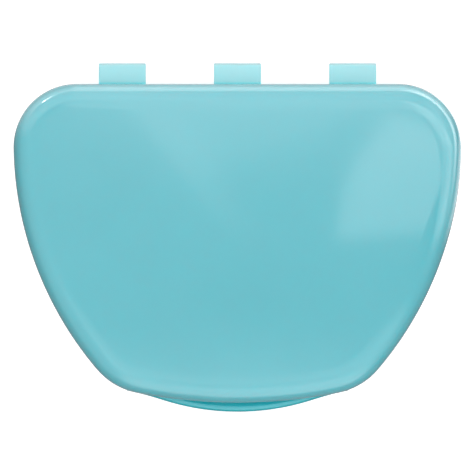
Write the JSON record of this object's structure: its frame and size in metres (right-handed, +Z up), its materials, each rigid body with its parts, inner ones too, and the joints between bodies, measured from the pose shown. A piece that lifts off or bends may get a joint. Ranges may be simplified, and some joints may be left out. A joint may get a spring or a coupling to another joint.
{
  "type": "orthodontic retainer case",
  "caption": "Hinged box for a dental retainer: D-shaped tray, shallow domed lid with a front thumb lip, and a living hinge of thin straps along the straight back.",
  "frame": {"origin": "middle of the footprint, on the surface that the closed case stands on", "axes": "+X to the case's right, +Y towards the hinge, +Z up through the lid"},
  "size_m": [0.08, 0.0622, 0.025],
  "materials": {
    "moulded_shell": "gloss",
    "thin_strap": "satin"
  },
  "bodies": {
    "base": {"base_tray": "moulded_shell", "base_snap_bead": "moulded_shell", "hinge_base_leaf_left": "thin_strap", "hinge_base_leaf_centre": "thin_strap", "hinge_base_leaf_right": "thin_strap", "hinge_fold_left": "thin_strap", "hinge_fold_centre": "thin_strap", "hinge_fold_right": "thin_strap"},
    "lid": {"lid_shell": "moulded_shell", "lid_snap_rib": "moulded_shell", "lid_thumb_lip": "moulded_shell", "hinge_lid_leaf_left": "thin_strap", "hinge_lid_leaf_centre": "thin_strap", "hinge_lid_leaf_right": "thin_strap"}
  },
  "joints": [
    {"name": "lid_hinge", "type": "hinge", "parent": "base", "child": "lid", "pos_m": [0, 0.03095, 0.0145], "axis": [-1, 0, 0], "range_deg": [0, 178], "deforming": ["hinge_fold_left", "hinge_fold_centre", "hinge_fold_right"]}
  ]
}
